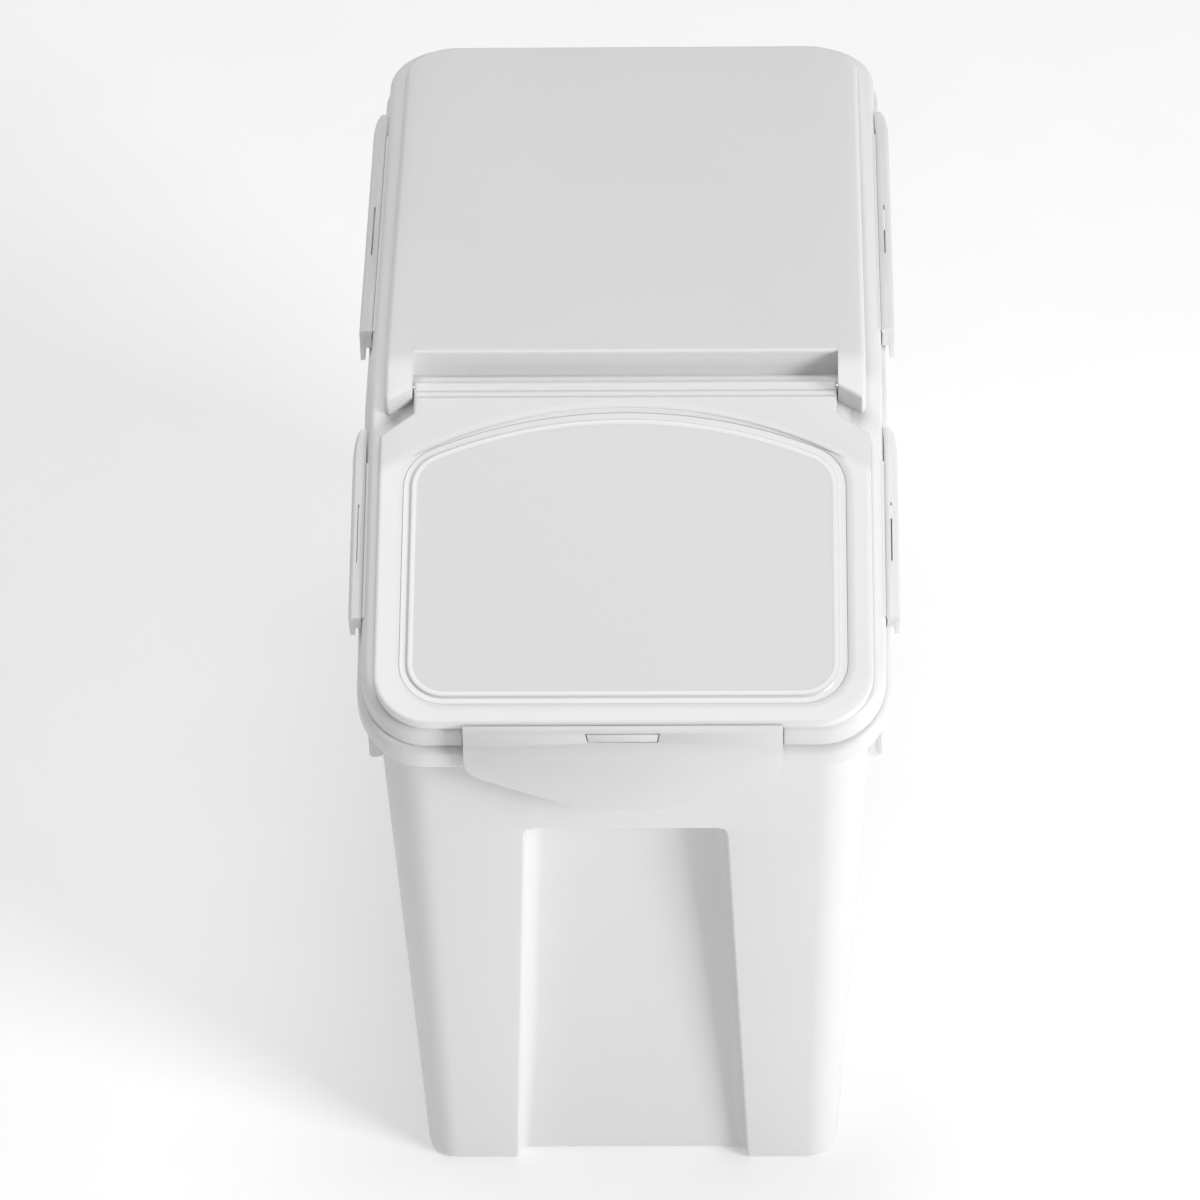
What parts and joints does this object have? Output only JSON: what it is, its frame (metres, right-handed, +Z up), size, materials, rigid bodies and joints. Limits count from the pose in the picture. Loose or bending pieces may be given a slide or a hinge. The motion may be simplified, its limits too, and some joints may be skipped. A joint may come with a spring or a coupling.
{
  "type": "rice bin with flip lid",
  "caption": "White rice bin with a sloped scoop door, side-latched lid, front hand recess and a measuring cup stored under the lid.",
  "frame": {"origin": "on the floor under the middle of the bin's bounding box", "axes": "+Z up, the front with the scoop door faces -Y, +X to the right as seen from the front"},
  "size_m": [0.2, 0.354, 0.299],
  "materials": {
    "white_plastic": "satin",
    "milky_plastic": "satin",
    "clear_plastic": "clear, slightly smoky",
    "silicone": "soft, translucent white",
    "steel": "drawn",
    "wheel_plastic": "matte"
  },
  "bodies": {
    "tub": {"bin_body": "white_plastic", "axle_left": "steel", "axle_right": "steel"},
    "lid": {"lid_frame": "white_plastic", "lid_gasket": "silicone", "cup_holder": "white_plastic"},
    "flip_door": {"door": "milky_plastic", "door_window": "clear_plastic", "door_gasket": "silicone", "hinge_pin_left": "steel", "hinge_pin_right": "steel"},
    "door_latch": {"front_latch": "milky_plastic"},
    "side_latch_left_rear": {"latch_left_rear": "milky_plastic"},
    "side_latch_left_front": {"latch_left_front": "milky_plastic"},
    "side_latch_right_rear": {"latch_right_rear": "milky_plastic"},
    "side_latch_right_front": {"latch_right_front": "milky_plastic"},
    "cup": {"measuring_cup": "milky_plastic"},
    "roller_left": {"wheel_left": "wheel_plastic"},
    "roller_right": {"wheel_right": "wheel_plastic"}
  },
  "joints": [
    {"name": "lid_lift", "type": "slide", "parent": "tub", "child": "lid", "axis": [0, 0, 1], "range_m": [0, 0.06]},
    {"name": "door_hinge", "type": "hinge", "parent": "lid", "child": "flip_door", "pos_m": [0, -0.04264, 0.28876], "axis": [-1, 0, 0], "range_deg": [0, 135]},
    {"name": "front_latch_hinge", "type": "hinge", "parent": "flip_door", "child": "door_latch", "pos_m": [0, -0.17398, 0.23719], "axis": [-1, 0, 0], "range_deg": [0, 95]},
    {"name": "left_rear_latch_hinge", "type": "hinge", "parent": "lid", "child": "side_latch_left_rear", "pos_m": [-0.0963, 0.062, 0.2863], "axis": [0, 1, 0], "range_deg": [0, 95]},
    {"name": "left_front_latch_hinge", "type": "hinge", "parent": "lid", "child": "side_latch_left_front", "pos_m": [-0.0963, -0.09196, 0.26461], "axis": [0, 0.9298, 0.3681], "range_deg": [0, 95]},
    {"name": "right_rear_latch_hinge", "type": "hinge", "parent": "lid", "child": "side_latch_right_rear", "pos_m": [0.0963, 0.062, 0.2863], "axis": [0, -1, 0], "range_deg": [0, 95]},
    {"name": "right_front_latch_hinge", "type": "hinge", "parent": "lid", "child": "side_latch_right_front", "pos_m": [0.0963, -0.09196, 0.26461], "axis": [0, -0.9298, -0.3681], "range_deg": [0, 95]},
    {"name": "cup_slide", "type": "slide", "parent": "lid", "child": "cup", "axis": [0, -1, 0], "range_m": [0, 0.088]},
    {"name": "wheel_left_spin", "type": "hinge", "parent": "tub", "child": "roller_left", "pos_m": [-0.054, 0.1405, 0.01], "axis": [1, 0, 0], "continuous": true},
    {"name": "wheel_right_spin", "type": "hinge", "parent": "tub", "child": "roller_right", "pos_m": [0.054, 0.1405, 0.01], "axis": [1, 0, 0], "continuous": true}
  ]
}
